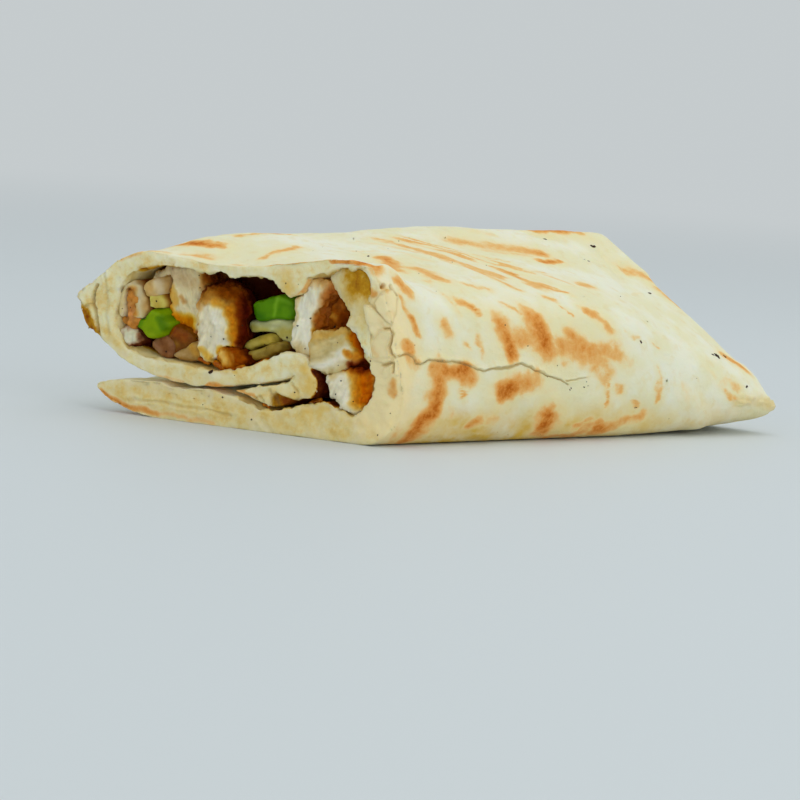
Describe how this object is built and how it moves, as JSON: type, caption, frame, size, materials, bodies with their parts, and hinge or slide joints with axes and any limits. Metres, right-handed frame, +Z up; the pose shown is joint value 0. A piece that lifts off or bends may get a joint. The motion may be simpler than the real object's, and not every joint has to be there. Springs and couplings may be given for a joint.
{
  "type": "chicken wrap",
  "caption": "Half of a rolled chicken wrap, cut on the slant: toasted flatbread rolled round chicken, green pepper and onion, with one end folded shut.",
  "frame": {"origin": "centre of the base of the bounding box, on the surface the wrap lies on", "axes": "+X along the roll from the slanted cut to the folded end, +Y from the near side to the side with the loose flap, +Z up"},
  "size_m": [0.1528, 0.0702, 0.0448],
  "materials": {
    "flatbread": "matt baked flatbread with browned spots",
    "filling": "moist, packed filling in brown sauce",
    "chicken": "moist grilled chicken",
    "pepper": "glossy green pepper",
    "onion": "moist, slightly clear cooked onion"
  },
  "bodies": {
    "root": {"flatbread": "flatbread", "filling_core": "filling", "chicken_centre": "chicken", "chicken_back": "chicken", "chicken_strip": "chicken", "chicken_brown": "chicken", "chicken_right": "chicken", "chicken_low": "chicken", "chicken_stub": "chicken", "chicken_far": "chicken", "chicken_chip": "chicken", "pepper_left": "pepper", "pepper_mid": "pepper", "onion_ring": "onion", "onion_tall": "onion", "onion_chip": "onion", "onion_pink": "onion", "onion_brown": "onion", "onion_low": "onion", "onion_mid": "onion", "onion_strip_upper": "onion", "onion_strip_lower": "onion"}
  },
  "joints": []
}
